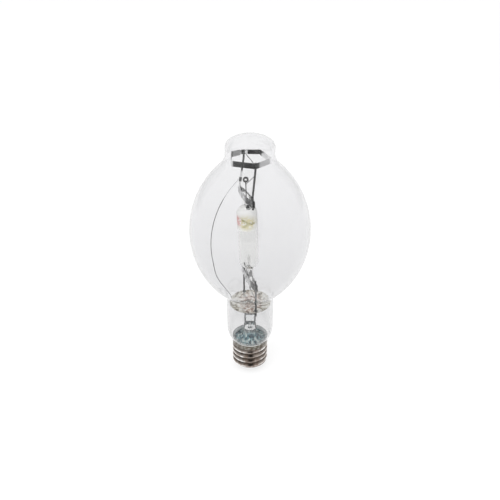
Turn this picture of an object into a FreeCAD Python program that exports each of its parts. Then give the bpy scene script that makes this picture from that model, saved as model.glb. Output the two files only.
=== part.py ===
import FreeCAD, Part
import math
import os

# Clear high-pressure discharge lamp with a large screw cap, millimetres.
# The origin is the middle of the contact's lower face and the lamp axis is +Z.
# A place is written as (x, front, z), where front is the distance towards the viewer (-Y).

# Screw cap
shell_crest_radius = 19.75
shell_wall = 0.45
thread_pitch = 6.35
thread_depth = 1.8
thread_run_in = 2.2
thread_run_out = 3.4
thread_lip_overlap = 1.4
shell_lip_bend = 2.4
shell_lip_angle = 110.0
shell_lip_level = 10.8
shell_rim_level = 41.0
shell_skirt_height = 6.6
shell_rim_height = 2.2
shell_rim_flare = 0.55
shell_columns = 16
shell_rows_per_turn = 6

# Contact and its insulator
contact_radius = 6.5
contact_height = 1.0
contact_edge = 0.4
contact_hole_radius = 1.6
insulator_wall = 3.0
insulator_collar_rise = 2.2
insulator_step = 1.0
insulator_belly_out = 1.0
insulator_belly_down = 0.6
insulator_hole_radius = 1.1
moulding_gap = 0.15

# Outer bulb
glass_wall = 1.1
cement_space = 1.3
neck_end_drop = 2.7
neck_step_drop = 0.4
shoulder_lift = 1.2
shoulder_inset = 3.6
shoulder_height = 14.8
neck_over_cap = 5.65
neck_length = 36.9
neck_blend = 10.0
bulb_radius = 61.3
bulge_arc_radius = 93.0
dome_blend = 15.0
dome_radius = 23.9
dome_wall_height = 5.9
dome_cap_height = 12.3
dome_corner_bend = 8.0
cement_gap = 0.04
cement_height = 3.0
cement_slot_gap = 0.3

# Stem with its press and exhaust tube
stem_tube_radius = 7.0
stem_wall = 1.1
flare_height = 11.7
stem_tube_height = 2.0
press_taper_height = 8.0
press_flat_height = 10.0
press_width = 13.0
press_thickness = 4.8
exhaust_radius = 2.2
exhaust_wall = 0.8
exhaust_drop = 11.3
exhaust_hole_radius = 0.9
exhaust_hole_drop = 2.0

# Wires of the stem
lead_radius = 0.5
lead_offset = 4.9
lead_bend = 2.5
lead_stand = 7.0
lead_tip_gap = 2.0
contact_lead_end = 0.3
shell_lead_dip = 2.5
left_lead_shift = 2.7
left_lead_step = 1.0
left_lead_straight = 4.2
weld_gap = 0.04
end_gap = 0.15
level_slack = 0.1

# Arc tube, measured along its own leaning axis from the middle of the lower strap
lower_strap_drop = 56.5
lower_strap_shift = -0.5
strap_spacing = 94.3
lean_right = -3.1
lean_front = 1.5
mount_turn = 19.0
quartz_radius = 10.2
quartz_wall = 1.3
quartz_end_bend = 8.4
lower_body_gap = 14.5
upper_body_gap = 9.4
pinch_width = 15.0
pinch_thickness = 4.4
pinch_edge = 1.2
pinch_bead = 3.2
pinch_recess = 0.7
lower_pinch_tail = 7.0
upper_pinch_tail = 2.7
tip_off_radius = 1.6
tip_off_end_radius = 0.5
tip_off_length = 2.0
coat_length = 24.0
coat_wall = 0.15
coat_gap = 0.03

# Electrodes, foils and leads in the pinches
electrode_radius = 0.6
electrode_reach = 13.0
coil_radius = 1.5
coil_length = 5.0
coil_turns = 4
coil_set_back = 1.2
foil_width = 3.2
foil_thickness = 0.15
foil_length = 5.5
outer_lead_radius = 0.5
lower_lead_length = 6.0
upper_lead_length = 12.4

# Mount straps and frame wires
strap_thickness = 0.4
lower_strap_height = 8.0
upper_strap_height = 7.0
strap_seat_gap = 0.06
strap_seat_margin = 0.6
strap_slope_gap = 0.8
strap_end_tab = 2.4
upper_rod_inset = 3.0
upper_rod_tip = 2.0
frame_rod_radius = 1.0
frame_bend = 3.0
lower_rod_rise = 8.0
foot_rise = 10.0
foot_dip_rise = 3.5
foot_dip_half = 3.5

# Band, cross wire and sleeve
band_drop = 5.4
band_height = 5.5
band_thickness = 0.5
band_wall_gap = 0.5
front_rod_angle = 14.0
back_rod_angle = 198.0
right_corner_angle = 76.0
right_corner_inset = 1.5
other_corner_angles = (153.0, 236.0, 309.0)
band_outer_bend = 1.4
cross_wire_radius = 0.35
cross_wire_bow = 0.8
sleeve_wall = 0.4
sleeve_height = 4.0

# Heat-shield disc on the lower frame
disc_wall_gap = 2.2
disc_edge = 2.6
disc_thickness = 0.4
disc_rise = 16.0
disc_hole_gap = 0.15
clip_radius = 2.0
clip_thickness = 0.5
clip_gap = 0.05

# Return lead, getter and links
return_lead_radius = 0.35
return_lead_hole_gap = 0.4
return_lead_stand = 1.0
return_lead_foot_inset = 6.5
return_lead_foot_back = 2.0
return_lead_foot_rise = 10.6
return_lead_neck_gap = 2.8
return_lead_neck_back = 1.0
return_lead_wall_gap = 0.3
return_lead_low_rise = 23.0
return_lead_high_inset = 14.9
return_lead_high_back = 4.5
return_lead_high_rise = 12.6
return_lead_bends = (1.5, 3.0, 9.6, 41.0, 95.0)
return_lead_weld_rise = 11.2
getter_outer_radius = 2.8
getter_inner_radius = 1.2
getter_depth = 1.6
getter_wall = 0.25
getter_fill_depth = 0.9
link_radius = 0.3
lower_link_drop = 4.5
upper_link_rise = 15.0
link_overlap = 4.0
link_leave = 1.5
link_bend = 1.0


def blend_rise(side_radius, blend):
    """Height between the widest level and the end of a blend to a straight side."""
    across = side_radius + blend - (bulb_radius - bulge_arc_radius)
    return math.sqrt((bulge_arc_radius + blend) ** 2 - across ** 2)


# Levels and seats of the cap and the bulb
shell_inner_radius = shell_crest_radius - shell_wall
thread_start = shell_lip_level - thread_lip_overlap
thread_end = shell_rim_level - shell_skirt_height
insulator_collar_top = shell_lip_level + insulator_collar_rise
neck_radius = shell_crest_radius + neck_over_cap
neck_end_radius = shell_inner_radius - cement_space
neck_end_level = shell_rim_level - neck_end_drop
neck_step_level = shell_rim_level - neck_step_drop
shoulder_start_radius = neck_radius - shoulder_inset
shoulder_start_level = shell_rim_level + shoulder_lift
shoulder_end_level = shoulder_start_level + shoulder_height
neck_top_level = shoulder_end_level + neck_length
bulge_centre_radius = bulb_radius - bulge_arc_radius
bulb_widest_level = neck_top_level + blend_rise(neck_radius, neck_blend)
dome_foot_level = bulb_widest_level + blend_rise(dome_radius, dome_blend)
dome_cap_level = dome_foot_level + dome_wall_height
lamp_length = dome_cap_level + dome_cap_height

# Levels and seats of the stem and its wires
flare_top_level = neck_end_level + flare_height
press_start_level = flare_top_level + stem_tube_height
press_full_level = press_start_level + press_taper_height
press_top_level = press_full_level + press_flat_height
exhaust_tip_level = neck_end_level - exhaust_drop
lead_top_level = press_top_level + lead_stand
left_lead_step_level = press_top_level + left_lead_step
left_lead_straight_level = press_top_level + left_lead_straight
lead_at_shell_radius = shell_inner_radius - lead_radius - weld_gap

# Levels and seats of the mount
lower_strap_level = bulb_widest_level - lower_strap_drop
disc_radius = neck_radius - glass_wall - disc_wall_gap
lower_rod_offset = disc_radius - disc_edge
disc_level = press_top_level + disc_rise
disc_top = disc_level + disc_thickness
foot_level = press_top_level + foot_rise
foot_dip_level = press_top_level + foot_dip_rise
band_level = dome_foot_level - band_drop
band_radius = dome_radius - glass_wall - band_wall_gap
band_angles = sorted(other_corner_angles + (front_rod_angle, right_corner_angle, back_rod_angle))
upper_rod_offset = band_radius - upper_rod_inset


def place(x, front, z):
    return FreeCAD.Vector(x, -front, z)


def profile_point(radius, z):
    return FreeCAD.Vector(radius, 0, z)


def line(first, last):
    return Part.makeLine(first, last)


def arc(first, middle, last):
    return Part.Arc(first, middle, last).toShape()


def full_turn(edges):
    face = Part.Face(Part.Wire(Part.__sortEdges__(edges)))
    solid = face.revolve(FreeCAD.Vector(), FreeCAD.Vector(0, 0, 1), 360)
    return solid


def turned_outline(points):
    """Revolve a closed outline of straight lines given as (radius, z)."""
    corners = [profile_point(radius, z) for radius, z in points]
    edges = [line(corners[i - 1], corners[i]) for i in range(len(corners))]
    return full_turn(edges)


def wire_path(points, bends):
    """Join points by straight runs, with a bend radius for each corner between them."""
    edges = []
    start = points[0]
    for i, bend in enumerate(bends, 1):
        corner = points[i]
        into = (corner - points[i - 1]).normalize()
        out = (points[i + 1] - corner).normalize()
        turn = into.getAngle(out)
        cut = bend * math.tan(turn / 2)
        first = corner - into * cut
        last = corner + out * cut
        inward = (out - into).normalize()
        middle = corner + inward * (bend / math.cos(turn / 2) - bend)
        edges.append(line(start, first))
        edges.append(arc(first, middle, last))
        start = last
    edges.append(line(start, points[-1]))
    return Part.Wire(edges)


def round_bar(path, radius):
    """Sweep a round section along a path, closed at both ends."""
    first = path.OrderedEdges[0]
    point = first.valueAt(first.FirstParameter)
    direction = first.tangentAt(first.FirstParameter)
    if first.Orientation == "Reversed":
        point = first.valueAt(first.LastParameter)
        direction = first.tangentAt(first.LastParameter) * -1
    sweep = Part.BRepOffsetAPI.MakePipeShell(path)
    sweep.add(Part.Wire(Part.makeCircle(radius, point, direction)))
    sweep.build()
    sweep.makeSolid()
    return sweep.shape()


def bent_wire(points, radius, bend):
    """Round wire with the same bend radius at every corner."""
    return round_bar(wire_path(points, [bend] * (len(points) - 2)), radius)


def strap_centre(end):
    low = place(lower_strap_shift, 0, lower_strap_level)
    if end == "lower":
        return low
    return low + place(lean_right, lean_front, strap_spacing)


def arc_tube_place():
    """Turn and lean the arc tube's own axes into the lamp."""
    lower = strap_centre("lower")
    lean = FreeCAD.Rotation(FreeCAD.Vector(0, 0, 1), strap_centre("upper") - lower)
    turn = FreeCAD.Rotation(FreeCAD.Vector(0, 0, 1), mount_turn - 90)
    return FreeCAD.Placement(lower, lean.multiply(turn))


def strap_span():
    return (strap_centre("upper") - strap_centre("lower")).Length


def body_start():
    return lower_body_gap


def body_end():
    return strap_span() - upper_body_gap


def on_arc_tube(x, y, z):
    return arc_tube_place().multVec(FreeCAD.Vector(x, y, z))


def put_on_arc_tube(shape):
    shape.Placement = arc_tube_place()
    return shape


def around_axis(azimuth, radius, z):
    """A place at an azimuth counted from the front towards +X."""
    angle = math.radians(azimuth)
    return place(radius * math.sin(angle), radius * math.cos(angle), z)


# Screw shell, rolled from thin nickel-plated brass with a round-form thread
def thread_drop(z, angle):
    """How far the rolled thread lies below its crest at a height and angle."""
    rise = min(1.0, max(0.0, (z - thread_start) / thread_run_in))
    fall = min(1.0, max(0.0, (thread_end - z) / thread_run_out))
    fade = math.sin(rise * math.pi / 2) * math.sin(fall * math.pi / 2)
    phase = 2 * math.pi * (z / thread_pitch) - angle
    return fade * thread_depth * (1 - math.cos(phase)) / 2


def shell_profile(inset):
    """Section of the plain shell from its turned-in lip to its flared rim."""
    lip_centre_radius = shell_crest_radius - shell_lip_bend
    lip_radius = shell_lip_bend - inset
    flare_start = shell_rim_level - shell_rim_height
    points = []
    lip_steps = 5
    for i in range(lip_steps):
        angle = math.radians(-shell_lip_angle * (1 - i / lip_steps))
        radius = lip_centre_radius + lip_radius * math.cos(angle)
        points.append((radius, shell_lip_level + lip_radius * math.sin(angle)))
    wall_steps = round((flare_start - shell_lip_level) / thread_pitch * shell_rows_per_turn)
    for i in range(wall_steps + 1):
        z = shell_lip_level + (flare_start - shell_lip_level) * i / wall_steps
        points.append((shell_crest_radius - inset, z))
    rim_steps = 3
    for i in range(1, rim_steps + 1):
        part = i / rim_steps
        radius = shell_crest_radius - inset + shell_rim_flare * part * part
        points.append((radius, flare_start + shell_rim_height * part))
    return points


def rolled_surface(inset):
    rows = []
    for i in range(shell_columns + 1):
        angle = 2 * math.pi * (i % shell_columns) / shell_columns
        row = []
        for radius, z in shell_profile(inset):
            rolled = radius - thread_drop(z, angle)
            row.append(FreeCAD.Vector(rolled * math.cos(angle), rolled * math.sin(angle), z))
        rows.append(row)
    surface = Part.BSplineSurface()
    surface.interpolate(rows)
    return surface.toShape()


def ring_edge(face, at_top):
    rings = [e for e in face.Edges if e.BoundBox.ZLength < 0.001 and e.Length > 1]
    rings.sort(key=lambda e: e.BoundBox.ZMin)
    return rings[-1] if at_top else rings[0]


def screw_shell():
    outer = rolled_surface(0.0)
    inner = rolled_surface(shell_wall)
    lip = Part.makeRuledSurface(ring_edge(outer, False), ring_edge(inner, False))
    rim = Part.makeRuledSurface(ring_edge(outer, True), ring_edge(inner, True))
    skin = Part.makeShell([outer, inner, lip, rim])
    skin.sewShape()
    solid = Part.Solid(skin)
    if solid.Volume < 0:
        solid.reverse()
    return solid


# Black glass insulator, moulded into the lip of the shell
def cap_insulator():
    lip_radius = shell_crest_radius - shell_lip_bend * (1 + math.sin(math.radians(shell_lip_angle - 90)))
    collar = lip_radius - moulding_gap
    lip_level = shell_lip_level - shell_lip_bend
    foot = profile_point(contact_radius, contact_height)
    edge = profile_point(collar, lip_level)
    belly = profile_point((contact_radius + collar) / 2 + insulator_belly_out,
                          (contact_height + lip_level) / 2 - insulator_belly_down)
    inside = collar - insulator_wall
    floor = contact_height + insulator_wall
    hole_top = profile_point(insulator_hole_radius, floor)
    hole_bottom = profile_point(insulator_hole_radius, contact_height)
    corners = [
        edge,
        profile_point(collar, insulator_collar_top),
        profile_point(inside, insulator_collar_top),
        profile_point(inside, lip_level + insulator_step),
        profile_point(contact_radius, floor),
        hole_top,
        hole_bottom,
        foot,
    ]
    edges = [line(corners[i], corners[i + 1]) for i in range(len(corners) - 1)]
    edges.append(arc(foot, belly, edge))
    return full_turn(edges)


# Centre contact, a plated brass disc with a rounded edge and a hole for the wire
def centre_contact():
    ring = turned_outline([
        (contact_hole_radius, 0),
        (contact_radius, 0),
        (contact_radius, contact_height),
        (contact_hole_radius, contact_height),
    ])
    under_side = [e for e in ring.Edges if e.BoundBox.ZMax < 0.001]
    rim = max(under_side, key=lambda e: e.BoundBox.XMax)
    return ring.makeFillet(contact_edge, [rim])


# Solder that fills the contact's hole round the wire
def contact_solder():
    top = contact_height
    fill = Part.makeCylinder(contact_hole_radius, top)
    return fill.cut(contact_lead())


# Cement ring between the neck and the shell's skirt
def cap_cement():
    base = neck_end_level - cement_height / 2
    outer = Part.makeCylinder(shell_inner_radius - cement_gap, cement_height, FreeCAD.Vector(0, 0, base))
    inner = Part.makeCylinder(neck_end_radius + cement_gap, cement_height, FreeCAD.Vector(0, 0, base))
    slot_half = lead_radius + cement_slot_gap
    slot = Part.makeBox(2 * cement_space, 2 * slot_half, cement_height,
                        FreeCAD.Vector(-shell_inner_radius - cement_space / 2, -slot_half, base))
    return outer.cut([inner, slot])


# Outer bulb, blown from hard glass, open at the neck where the stem is sealed in
def bulb_outline(inset):
    """Section of the bulb at a depth below its outer surface, from the neck's end to the top."""
    neck = neck_radius - inset
    dome = dome_radius - inset
    bulge_centre = profile_point(bulge_centre_radius, bulb_widest_level)
    neck_centre = profile_point(neck_radius + neck_blend, neck_top_level)
    dome_centre = profile_point(dome_radius + dome_blend, dome_foot_level)

    end = profile_point(neck_end_radius - inset, neck_end_level)
    step = profile_point(neck_end_radius - inset, neck_step_level + inset / 2)
    shoulder_drop = shoulder_end_level - shoulder_start_level
    shoulder_width = neck_radius - shoulder_start_radius
    shoulder_radius = (shoulder_width ** 2 + shoulder_drop ** 2) / (2 * shoulder_width)
    shoulder_centre = profile_point(neck_radius - shoulder_radius, shoulder_end_level)
    shoulder_angle = math.asin(shoulder_drop / shoulder_radius)

    def on_shoulder(part):
        angle = -shoulder_angle * part
        reach = shoulder_radius - inset
        return shoulder_centre + profile_point(reach * math.cos(angle), reach * math.sin(angle))

    def towards(centre, other, distance):
        return centre + (other - centre).normalize() * distance

    neck_join = towards(bulge_centre, neck_centre, bulge_arc_radius - inset)
    dome_join = towards(bulge_centre, dome_centre, bulge_arc_radius - inset)
    widest = profile_point(bulb_radius - inset, bulb_widest_level)
    neck_foot = profile_point(neck, neck_centre.z)
    dome_foot = profile_point(dome, dome_centre.z)
    neck_middle = towards(neck_centre, (neck_foot + neck_join) * 0.5, neck_blend + inset)
    dome_middle = towards(dome_centre, (dome_foot + dome_join) * 0.5, dome_blend + inset)

    crown_radius = ((dome_radius ** 2 + dome_cap_height ** 2) / 2 - dome_radius * dome_corner_bend)
    crown_radius = crown_radius / (dome_cap_height - dome_corner_bend)
    crown_centre = profile_point(0, lamp_length - crown_radius)
    corner_centre = profile_point(dome_radius - dome_corner_bend, dome_cap_level)
    rim = profile_point(dome, corner_centre.z)
    top = profile_point(0, lamp_length - inset)
    crown_reach = crown_radius - inset
    crown_join = towards(crown_centre, corner_centre, crown_reach)
    crown_middle = towards(crown_centre, (crown_join + top) * 0.5, crown_reach)
    corner_middle = towards(corner_centre, (crown_join + rim) * 0.5, dome_corner_bend - inset)

    return [
        line(end, step),
        line(step, on_shoulder(1)),
        arc(on_shoulder(1), on_shoulder(0.5), on_shoulder(0)),
        line(on_shoulder(0), neck_foot),
        arc(neck_foot, neck_middle, neck_join),
        arc(neck_join, widest, dome_join),
        arc(dome_join, dome_middle, dome_foot),
        line(dome_foot, rim),
        arc(rim, corner_middle, crown_join),
        arc(crown_join, crown_middle, top),
    ]


def outer_bulb():
    edges = bulb_outline(0.0) + bulb_outline(glass_wall)
    edges.append(line(profile_point(neck_end_radius, neck_end_level),
                      profile_point(neck_end_radius - glass_wall, neck_end_level)))
    edges.append(line(profile_point(0, lamp_length), profile_point(0, lamp_length - glass_wall)))
    return full_turn(edges)


# Stem, a flared glass tube pressed flat round its wires, with a sealed exhaust tube
def flare_edge(wall):
    """Section of the flare's upper or lower side as a quarter of an ellipse."""
    centre = profile_point(neck_end_radius - glass_wall, flare_top_level)
    across = neck_end_radius - glass_wall - stem_tube_radius + wall
    down = flare_top_level - neck_end_level + wall
    foot = centre - profile_point(0, down)
    side = centre - profile_point(across, 0)
    if down > across:
        ellipse = Part.Ellipse(foot, side, centre)
    else:
        ellipse = Part.Ellipse(side, foot, centre)
    first, last = ellipse.parameter(side), ellipse.parameter(foot)
    if abs(last - first) > math.pi:
        last = last - 2 * math.pi if last > first else last + 2 * math.pi
    return Part.Arc(ellipse, min(first, last), max(first, last)).toShape()


def stem_press():
    """Round tube that changes into the flat press."""
    lower = Part.Wire(Part.makeCircle(stem_tube_radius, FreeCAD.Vector(0, 0, press_start_level)))
    upper = Part.Wire(Part.Ellipse(FreeCAD.Vector(0, 0, press_full_level), press_width / 2,
                                   press_thickness / 2).toShape())
    taper = Part.makeLoft([lower, upper], True)
    flat = Part.Face(upper).extrude(FreeCAD.Vector(0, 0, press_top_level - press_full_level))
    return taper.fuse(flat).removeSplitter()


def stem_glass():
    seal = neck_end_radius - glass_wall
    inner_tube = stem_tube_radius - stem_wall
    seal_foot = neck_end_level - stem_wall
    tube_side = [
        profile_point(stem_tube_radius, flare_top_level),
        profile_point(stem_tube_radius, press_start_level),
        profile_point(inner_tube, press_start_level),
        profile_point(inner_tube, flare_top_level),
    ]
    seal_side = [
        profile_point(seal, neck_end_level),
        profile_point(neck_end_radius, neck_end_level),
        profile_point(neck_end_radius, seal_foot),
        profile_point(seal, seal_foot),
    ]
    edges = [flare_edge(0), flare_edge(stem_wall)]
    for side in (tube_side, seal_side):
        edges.extend(line(side[i], side[i + 1]) for i in range(len(side) - 1))
    flare = full_turn(edges)
    exhaust_top = press_full_level
    exhaust = Part.makeCylinder(exhaust_radius, exhaust_top - exhaust_tip_level,
                                FreeCAD.Vector(0, 0, exhaust_tip_level))
    tip = Part.makeSphere(exhaust_radius, FreeCAD.Vector(0, 0, exhaust_tip_level))
    bore_radius = exhaust_radius - exhaust_wall
    bore = Part.makeCylinder(bore_radius, exhaust_top - exhaust_tip_level - bore_radius,
                             FreeCAD.Vector(0, 0, exhaust_tip_level))
    vent_level = exhaust_top - exhaust_radius - exhaust_hole_drop
    vent = Part.makeCylinder(exhaust_hole_radius, press_width, FreeCAD.Vector(0, 0, vent_level),
                             FreeCAD.Vector(0, -1, 0))
    glass = flare.fuse([stem_press(), exhaust, tip])
    return glass.cut([bore, vent, contact_lead(), shell_lead()]).removeSplitter()


# Lead wires that pass through the press, one to the contact and one to the shell
def contact_lead():
    points = [
        place(lead_offset, 0, lead_top_level),
        place(lead_offset, 0, exhaust_tip_level - exhaust_radius - lead_tip_gap),
        place(0, 0, insulator_collar_top),
        place(0, 0, contact_lead_end),
    ]
    return bent_wire(points, lead_radius, lead_bend)


def shell_lead():
    down = neck_end_level - stem_wall - shell_lead_dip
    points = [
        place(-lead_offset - left_lead_shift, 0, lead_top_level),
        place(-lead_offset - left_lead_shift, 0, left_lead_straight_level),
        place(-lead_offset, 0, left_lead_step_level),
        place(-lead_offset, 0, down),
        place(-lead_at_shell_radius, 0, down),
        place(-lead_at_shell_radius, 0, neck_end_level + cement_height / 2),
    ]
    return bent_wire(points, lead_radius, lead_bend / 2)


# Lower frame, one nickel-plated steel wire bent to a U under the disc
def lower_rod_end(side, rise):
    return on_arc_tube(side * lower_rod_offset, 0, rise)


def lower_frame():
    beside_lead = lead_offset + lead_radius + frame_rod_radius + weld_gap
    front = lower_rod_end(1, -lower_strap_height)
    back = lower_rod_end(-1, -lower_strap_height)
    front_foot = FreeCAD.Vector(front.x, front.y, foot_level)
    back_foot = FreeCAD.Vector(back.x, back.y, foot_level)
    points = [
        lower_rod_end(1, lower_rod_rise),
        front,
        front_foot,
        place(beside_lead, foot_dip_half, foot_dip_level),
        place(beside_lead, -foot_dip_half, foot_dip_level),
        back_foot,
        back,
        lower_rod_end(-1, lower_rod_rise),
    ]
    return bent_wire(points, frame_rod_radius, frame_bend)


# Heat-shield disc of mica with holes for the frame wires and the return lead
def heat_shield_disc():
    disc = Part.makeCylinder(disc_radius, disc_thickness, FreeCAD.Vector(0, 0, disc_level))
    holes = [(lower_rod_end(side, -lower_strap_height), frame_rod_radius + disc_hole_gap) for side in (1, -1)]
    holes.append((return_lead_pass(), return_lead_radius + return_lead_hole_gap))
    for centre, radius in holes:
        base = FreeCAD.Vector(centre.x, centre.y, disc_level)
        disc = disc.cut(Part.makeCylinder(radius, disc_thickness, base))
    return disc


def disc_clip(side, level):
    rod = lower_rod_end(side, -lower_strap_height)
    base = FreeCAD.Vector(rod.x, rod.y, level)
    ring = Part.makeCylinder(clip_radius, clip_thickness, base)
    return ring.cut(Part.makeCylinder(frame_rod_radius, clip_thickness, base))


# Small collars on the frame wires above and below the disc
def disc_clips():
    levels = (disc_top + clip_gap, disc_level - clip_gap - clip_thickness)
    return Part.Compound([disc_clip(side, level) for side in (1, -1) for level in levels])


# Straps, a pair of pressed strips that clasp the pinch and the rods at each end
def strap_half(side, rod_offset, centre, height):
    """One strip, with a flat seat for the pinch and tabs that close on the rods."""
    seat = pinch_thickness / 2 + strap_seat_gap
    tab = frame_rod_radius + strap_seat_gap
    seat_half = pinch_width / 2 + strap_seat_margin
    slope_end = rod_offset - frame_rod_radius - strap_slope_gap
    tip = rod_offset + strap_end_tab
    right = [(seat_half, seat), (slope_end, tab), (tip, tab)]
    inner = [(-x, y) for x, y in reversed(right)] + right
    outer = [(x, y + strap_thickness) for x, y in reversed(inner)]
    corners = [FreeCAD.Vector(x, side * y, centre - height / 2) for x, y in inner + outer]
    face = Part.Face(Part.makePolygon(corners + corners[:1]))
    strip = face.extrude(FreeCAD.Vector(0, 0, height))
    return put_on_arc_tube(strip)


def lower_strap_half(side):
    return strap_half(side, lower_rod_offset, 0, lower_strap_height)


def upper_strap_half(side):
    return strap_half(side, upper_rod_offset, strap_span(), upper_strap_height)


# Arc tube, clear quartz with a pinch seal at each end
def quartz_outline(inset, start, end):
    """Section of the tube's body with rounded ends, at a depth below its surface."""
    bend = quartz_end_bend - inset
    wall = quartz_radius - inset
    low = start + inset
    high = end - inset
    diagonal = bend * math.sqrt(0.5)
    return [
        line(profile_point(0, low), profile_point(wall - bend, low)),
        arc(profile_point(wall - bend, low),
            profile_point(wall - bend + diagonal, low + bend - diagonal),
            profile_point(wall, low + bend)),
        line(profile_point(wall, low + bend), profile_point(wall, high - bend)),
        arc(profile_point(wall, high - bend),
            profile_point(wall - bend + diagonal, high - bend + diagonal),
            profile_point(wall - bend, high)),
        line(profile_point(wall - bend, high), profile_point(0, high)),
    ]


def quartz_body(inset):
    edges = quartz_outline(inset, body_start(), body_end())
    axis = line(profile_point(0, body_start() + inset), profile_point(0, body_end() - inset))
    return full_turn(edges + [axis])


def pinch_block(low, high):
    """Pressed seal of I-shaped section, thicker along both edges."""
    block = Part.makeBox(pinch_width, pinch_thickness, high - low,
                         FreeCAD.Vector(-pinch_width / 2, -pinch_thickness / 2, low))
    long_edges = [e for e in block.Edges if e.BoundBox.ZLength > high - low - level_slack]
    block = block.makeFillet(pinch_edge, long_edges)
    recess_half = pinch_width / 2 - pinch_bead
    web_half = pinch_thickness / 2 - pinch_recess
    recesses = [Part.makeBox(2 * recess_half, pinch_recess, high - low, FreeCAD.Vector(-recess_half, y, low))
                for y in (web_half, -web_half - pinch_recess)]
    return block.cut(recesses)


def lower_pinch():
    return pinch_block(-lower_pinch_tail, body_start() + quartz_wall)


def upper_pinch():
    return pinch_block(body_end() - quartz_wall, strap_span() + upper_pinch_tail)


def arc_tube_solid():
    body = quartz_body(0.0)
    middle = (body_start() + body_end()) / 2
    tip_off = Part.makeCone(tip_off_radius, tip_off_end_radius, tip_off_length + quartz_wall,
                            FreeCAD.Vector(0, quartz_radius - quartz_wall, middle), FreeCAD.Vector(0, 1, 0))
    glass = body.fuse([lower_pinch(), upper_pinch(), tip_off])
    hollows = [quartz_body(quartz_wall)]
    for end in ("lower", "upper"):
        hollows.extend([electrode_bar(end), foil_strip(end), outer_lead_bar(end)])
    return glass.cut(hollows)


def arc_tube():
    return put_on_arc_tube(arc_tube_solid())


# White heat-reflecting coat on the upper end of the arc tube
def upper_end_coat():
    skin = quartz_body(-coat_gap - coat_wall).cut(quartz_body(-coat_gap))
    foot = FreeCAD.Vector(0, 0, body_end() - coat_length)
    keep = Part.makeCylinder(2 * quartz_radius, 2 * coat_length, foot)
    return put_on_arc_tube(skin.common(keep).cut(upper_pinch()))


# Electrodes, foils and outer leads, placed along each pinch
def seal_levels(end):
    """Direction outwards, the cavity's end and the pinch's end for one side."""
    if end == "lower":
        return -1, body_start() + quartz_wall, -lower_pinch_tail
    return 1, body_end() - quartz_wall, strap_span() + upper_pinch_tail


def upright_bar(radius, first, last):
    low, high = min(first, last), max(first, last)
    return Part.makeCylinder(radius, high - low, FreeCAD.Vector(0, 0, low))


def foil_span(end):
    outwards, cavity, pinch_end = seal_levels(end)
    middle = (cavity + pinch_end) / 2
    return middle - outwards * foil_length / 2, middle + outwards * foil_length / 2


def electrode_bar(end):
    outwards, cavity, pinch_end = seal_levels(end)
    return upright_bar(electrode_radius, cavity - outwards * electrode_reach, foil_span(end)[0])


def electrode(end):
    """Tungsten rod with a wound coil behind its tip."""
    outwards, cavity, pinch_end = seal_levels(end)
    tip = cavity - outwards * electrode_reach
    turn_pitch = coil_length / coil_turns
    valley = coil_radius - turn_pitch / 3
    start = tip + outwards * coil_set_back
    outline = [(0, start), (valley, start)]
    for i in range(coil_turns):
        outline.append((coil_radius, start + outwards * turn_pitch * (i + 0.5)))
        outline.append((valley, start + outwards * turn_pitch * (i + 1)))
    outline.append((0, start + outwards * coil_length))
    return put_on_arc_tube(electrode_bar(end).fuse(turned_outline(outline)))


def foil_strip(end):
    first, last = foil_span(end)
    low, high = min(first, last), max(first, last)
    corner = FreeCAD.Vector(-foil_width / 2, -foil_thickness / 2, low)
    return Part.makeBox(foil_width, foil_thickness, high - low, corner)


def seal_foil(end):
    return put_on_arc_tube(foil_strip(end))


def outer_lead_tip(end):
    outwards, cavity, pinch_end = seal_levels(end)
    length = lower_lead_length if end == "lower" else upper_lead_length
    return pinch_end + outwards * length


def outer_lead_bar(end):
    return upright_bar(outer_lead_radius, foil_span(end)[1], outer_lead_tip(end))


def outer_lead(end):
    return put_on_arc_tube(outer_lead_bar(end))


# Dome band, a flat strip bent by hand to an uneven hexagon that steadies the mount in the dome
def band_outline(inset):
    base = band_level - band_height / 2
    reach = {azimuth: band_radius for azimuth in band_angles}
    reach[right_corner_angle] = band_radius - right_corner_inset
    corners = [around_axis(azimuth, reach[azimuth], base) for azimuth in band_angles]
    outline = Part.makePolygon(corners + corners[:1])
    if inset > 0:
        outline = outline.makeOffset2D(-inset, 2)
    return outline


def band_prism(inset):
    prism = Part.Face(band_outline(inset)).extrude(FreeCAD.Vector(0, 0, band_height))
    upright = [e for e in prism.Edges if e.BoundBox.ZLength > band_height - level_slack]
    return prism.makeFillet(band_outer_bend - inset, upright)


def dome_band():
    return band_prism(0).cut(band_prism(band_thickness))


def band_rod_place(side, z):
    """Centre of a rod where it nests in its corner of the band."""
    spans = [(band_angles[i] - band_angles[i - 1]) % 360 for i in range(len(band_angles))]
    steepest = math.radians(max(spans) / 2)
    depth = (band_thickness + frame_rod_radius + weld_gap) / math.cos(steepest)
    azimuth = front_rod_angle if side > 0 else back_rod_angle
    return around_axis(azimuth, band_radius - depth, z)


# Upper frame, two rods from the dome band down to the upper strap
def upper_rod_bends(side):
    """Places where an upper rod bends, below the band and above the strap."""
    high = band_rod_place(side, band_level - band_height)
    low = on_arc_tube(side * upper_rod_offset, 0, strap_span() + upper_strap_height)
    return high, low


def upper_rod(side):
    high, low = upper_rod_bends(side)
    tip = on_arc_tube(side * upper_rod_offset, 0, strap_span() - upper_strap_height / 2 - upper_rod_tip)
    points = [band_rod_place(side, band_level + band_height / 2), high, low, tip]
    return bent_wire(points, frame_rod_radius, frame_bend)


def upper_rod_point(side, z):
    """Point on the leaning run of an upper rod at a height."""
    high, low = upper_rod_bends(side)
    part = (z - low.z) / (high.z - low.z)
    return low + (high - low) * part


# Thin wire bowed across the band from one rod to the other
def dome_cross_wire():
    front = band_rod_place(1, band_level)
    back = band_rod_place(-1, band_level)
    inwards = (back - front).normalize() * (frame_rod_radius + end_gap)
    middle = (front + back) * 0.5 + FreeCAD.Vector(0, 0, cross_wire_bow)
    return round_bar(Part.Wire(arc(back - inwards, middle, front + inwards)), cross_wire_radius)


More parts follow.
